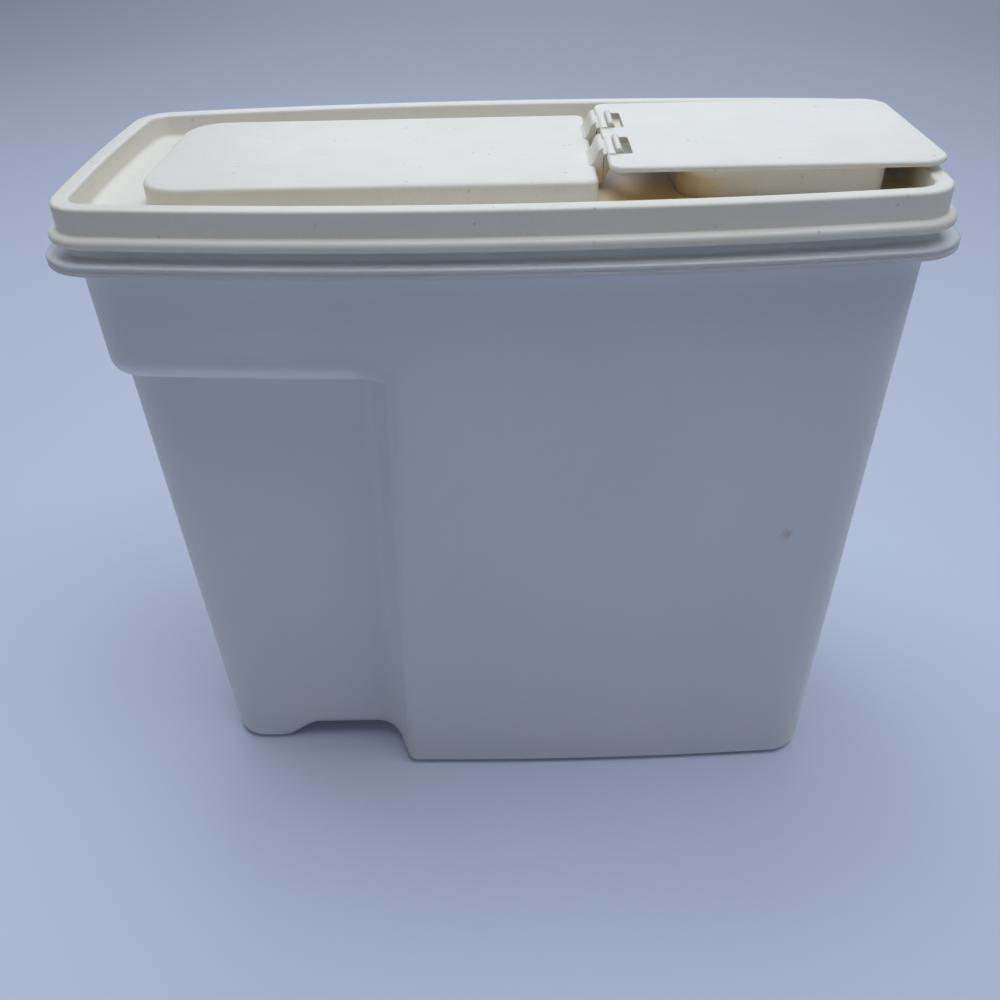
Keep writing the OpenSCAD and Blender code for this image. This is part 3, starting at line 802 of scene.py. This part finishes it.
def build_flap():
    edge_r = PLATE_T / 2
    middle = HINGE_Z + (FLAP_T - PLATE_T) / 2
    plate = solid("flap_moulding", [
        box_loop(HINGE_X - BAR_R, FLAP_X1, FLAP_W, FLAP_HINGE_CORNER_R, FLAP_CORNER_R, -x, z)
        for x, z in arc(-edge_r, middle, edge_r, -90, 90, PLATE_EDGE_N)], FLAP_FINISH)

    slot_w = HOOK_W + 2 * SLOT_GAP
    slot_x0, slot_x1 = HINGE_X - SLOT_X0_OFF, HINGE_X + (HOOK_R + SLOT_GAP + SLOT_MORE)
    bar_round = arc(0, 0, BAR_R, 0, 360 - 360 / BAR_SIDES, BAR_SIDES - 1)
    for side in (-1, 1):
        middle_y = side * HOOK_Y
        slot = [[(x, y + middle_y, z) for x, y, z in
                 box_loop(slot_x0, slot_x1, slot_w, SLOT_R0, SLOT_R1, 0, HINGE_Z + up,
                          SLOT_N)]
                for up in (-SLOT_CUT, SLOT_CUT)]
        boolean(plate, solid("cutter", slot, FLAP_FINISH), "DIFFERENCE")
        bar_ends = (middle_y - slot_w / 2 - BAR_INTO_PLATE, middle_y + slot_w / 2 + BAR_INTO_PLATE)
        bar = [[(HINGE_X + x, y, HINGE_Z + z) for x, z in bar_round] for y in bar_ends]
        boolean(plate, solid("bar", bar, FLAP_FINISH), "UNION")

    bm = bmesh.new()
    bridge(bm, add_loops(bm, [box_loop(MOUTH_X0, MOUTH_X1, MOUTH_W, MOUTH_R0, MOUTH_R1, inset, z)
                              for inset, z in plug_section(middle - edge_r)]), wrapped=True)
    boolean(plate, finish_mesh(bm, "plug", FLAP_FINISH), "UNION")

    # The booleans are done: weld and shade the whole moulding once more.
    bm = bmesh.new()
    bm.from_mesh(plate.data)
    bmesh.ops.scale(bm, vec=(1 / MM, 1 / MM, 1 / MM), verts=bm.verts)
    bpy.data.objects.remove(plate)
    return finish_mesh(bm, "flap_moulding", FLAP_FINISH, sharp_degrees=35)


flap = build_flap()
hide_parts("flap")
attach(flap, "flap")

# ------------------------------------------------------------------ floor, light and camera
FLOOR_HALF = 3.0
FLOOR_Z = -0.0001           # just under the base, so that the two faces don't fight
FLOOR_COLOUR = (0.66, 0.705, 0.84, 1)

floor_mesh = bpy.data.meshes.new("floor")
floor_mesh.from_pydata([(x * FLOOR_HALF, y * FLOOR_HALF, FLOOR_Z)
                        for x, y in ((-1, -1), (1, -1), (1, 1), (-1, 1))], [], [(0, 1, 2, 3)])
floor = bpy.data.objects.new("floor", floor_mesh)
bpy.context.collection.objects.link(floor)
floor_paper = Finish("floor_paper", Base_Color=FLOOR_COLOUR, Roughness=0.7)
floor.data.materials.append(floor_paper.material)

MIDDLE = (0, 0, 0.11)
LIGHTS = (                  # name, place, size, watts, colour
    ("top_light", (0.05, 0.05, 1.3), (1.6, 0.8), 14.5, (0.805, 0.878, 1.0)),
    ("back_light", (0.2, 2.3, 1.0), (2.0, 1.0), 6.5, (0.86, 0.93, 1.0)),
    ("side_fill", (-1.3, -0.45, 0.55), (0.8, 0.8), 0.8, (0.95, 0.97, 1.0)),
)
for lamp_name, lamp_place, lamp_size, watts, colour in LIGHTS:
    lamp = bpy.data.lights.new(lamp_name, "AREA")
    lamp.shape = "RECTANGLE"
    lamp.size, lamp.size_y = lamp_size
    lamp.energy = watts
    lamp.color = colour
    lamp_object = bpy.data.objects.new(lamp_name, lamp)
    lamp_object.location = lamp_place
    lamp_object.rotation_euler = (
        Vector(MIDDLE) - Vector(lamp_place)).to_track_quat("-Z", "Y").to_euler()
    bpy.context.collection.objects.link(lamp_object)

# A dim even light, and a plain pale backdrop for what is seen, mirrored or looked through.
WORLD_COLOUR = (0.84, 0.90, 1.0, 1)
LIGHT_LEVEL, SEEN_LEVEL = 0.08, 0.5

world = bpy.data.worlds.new("studio")
world.use_nodes = True
sky = world.node_tree
background = sky.nodes["Background"]
background.inputs["Color"].default_value = WORLD_COLOUR
paths = sky.nodes.new("ShaderNodeLightPath")
seen = paths.outputs["Is Camera Ray"]
for ray in ("Is Glossy Ray", "Is Transmission Ray"):
    either = sky.nodes.new("ShaderNodeMath")
    either.operation = "MAXIMUM"
    sky.links.new(seen, either.inputs[0])
    sky.links.new(paths.outputs[ray], either.inputs[1])
    seen = either.outputs["Value"]
strength = sky.nodes.new("ShaderNodeMapRange")
sky.links.new(seen, strength.inputs["Value"])
strength.inputs["To Min"].default_value = LIGHT_LEVEL
strength.inputs["To Max"].default_value = SEEN_LEVEL
sky.links.new(strength.outputs["Result"], background.inputs["Strength"])
bpy.context.scene.world = world

# The camera stands where lid, flange and base fit the photograph.
CAMERA_PLACE = Vector((0.00251, -0.29145, 0.29839))
CAMERA_YAW = math.radians(-0.973)
CAMERA_PITCH = math.radians(35.453)
CAMERA_ROLL = math.radians(-1.463)
SENSOR = 36.0
FOCAL_SHARE = 1.0           # focal length as a share of the picture's width

cp, sp = math.cos(CAMERA_PITCH), math.sin(CAMERA_PITCH)
cr, sr = math.cos(CAMERA_ROLL), math.sin(CAMERA_ROLL)
yawed = Matrix.Rotation(CAMERA_YAW, 3, "Z")
pitched = Matrix(((1, 0, 0), (0, -sp, -cp), (0, cp, -sp))) @ yawed
rolled = Matrix(((cr, -sr, 0), (sr, cr, 0), (0, 0, 1))) @ pitched
right, down, ahead = rolled.row[0], rolled.row[1], rolled.row[2]
camera = bpy.data.objects.new("camera", bpy.data.cameras.new("camera"))
camera.data.sensor_width = SENSOR
camera.data.lens = SENSOR * FOCAL_SHARE
camera.matrix_world = Matrix.Translation(CAMERA_PLACE) @ Matrix(
    (right, -down, -ahead)).transposed().to_4x4()
bpy.context.collection.objects.link(camera)
bpy.context.scene.camera = camera
bpy.context.scene.view_settings.view_transform = "Standard"
